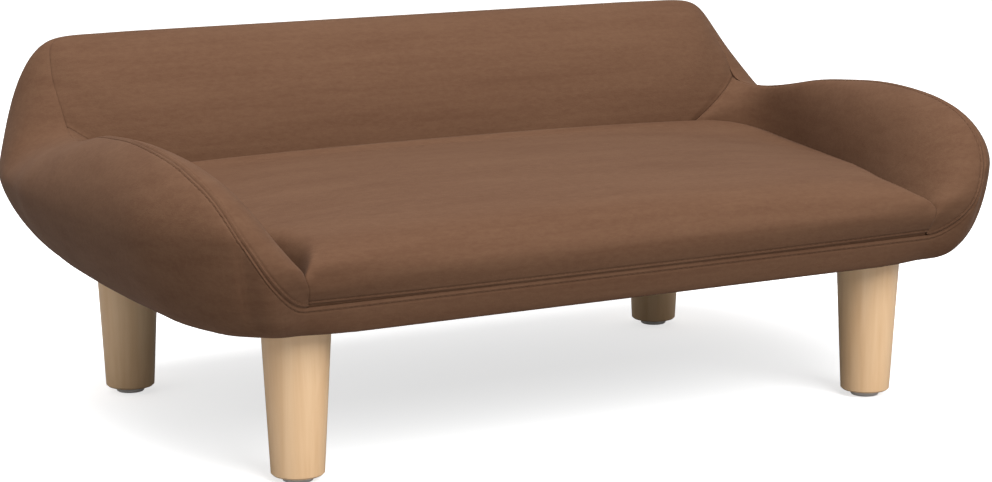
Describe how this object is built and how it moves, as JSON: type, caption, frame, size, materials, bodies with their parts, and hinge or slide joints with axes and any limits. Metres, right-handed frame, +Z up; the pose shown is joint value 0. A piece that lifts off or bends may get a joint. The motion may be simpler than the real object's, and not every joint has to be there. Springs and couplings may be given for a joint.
{
  "type": "dog sofa bed",
  "caption": "Low upholstered pet sofa with a reclined backrest, rounded arms, a crowned fixed seat, a double topstitched seam and tapered wooden legs with glides",
  "frame": {"origin": "on the floor, under the centre of the object's box", "axes": "X across the width, -Y towards the open front, +Y towards the back, +Z up"},
  "size_m": [0.7004, 0.4498, 0.268],
  "materials": {
    "brown_fabric": "matte",
    "lining": "matte",
    "foam": "matte",
    "leg_wood": "satin",
    "plywood": "matte",
    "glide_plastic": "satin",
    "steel": "satin"
  },
  "bodies": {
    "root": {"arm_batten_left": "plywood", "arm_batten_right": "plywood", "arm_board_left": "plywood", "arm_board_right": "plywood", "arm_cover_left": "brown_fabric", "arm_cover_right": "brown_fabric", "arm_foam_left": "foam", "arm_foam_right": "foam", "back_batten": "plywood", "back_board": "plywood", "backrest_cover": "brown_fabric", "backrest_foam": "foam", "base_board": "plywood", "batten_screws": "steel", "board_screws": "steel", "dust_cover": "lining", "glide_front_left": "glide_plastic", "glide_front_right": "glide_plastic", "glide_nails": "steel", "glide_rear_left": "glide_plastic", "glide_rear_right": "glide_plastic", "hanger_bolts": "steel", "leg_front_left": "leg_wood", "leg_front_right": "leg_wood", "leg_rear_left": "leg_wood", "leg_rear_right": "leg_wood", "outer_cover": "brown_fabric", "rear_cover": "brown_fabric", "seat_cover": "brown_fabric", "seat_foam": "foam", "staples": "steel", "tee_nuts": "steel"}
  },
  "joints": []
}
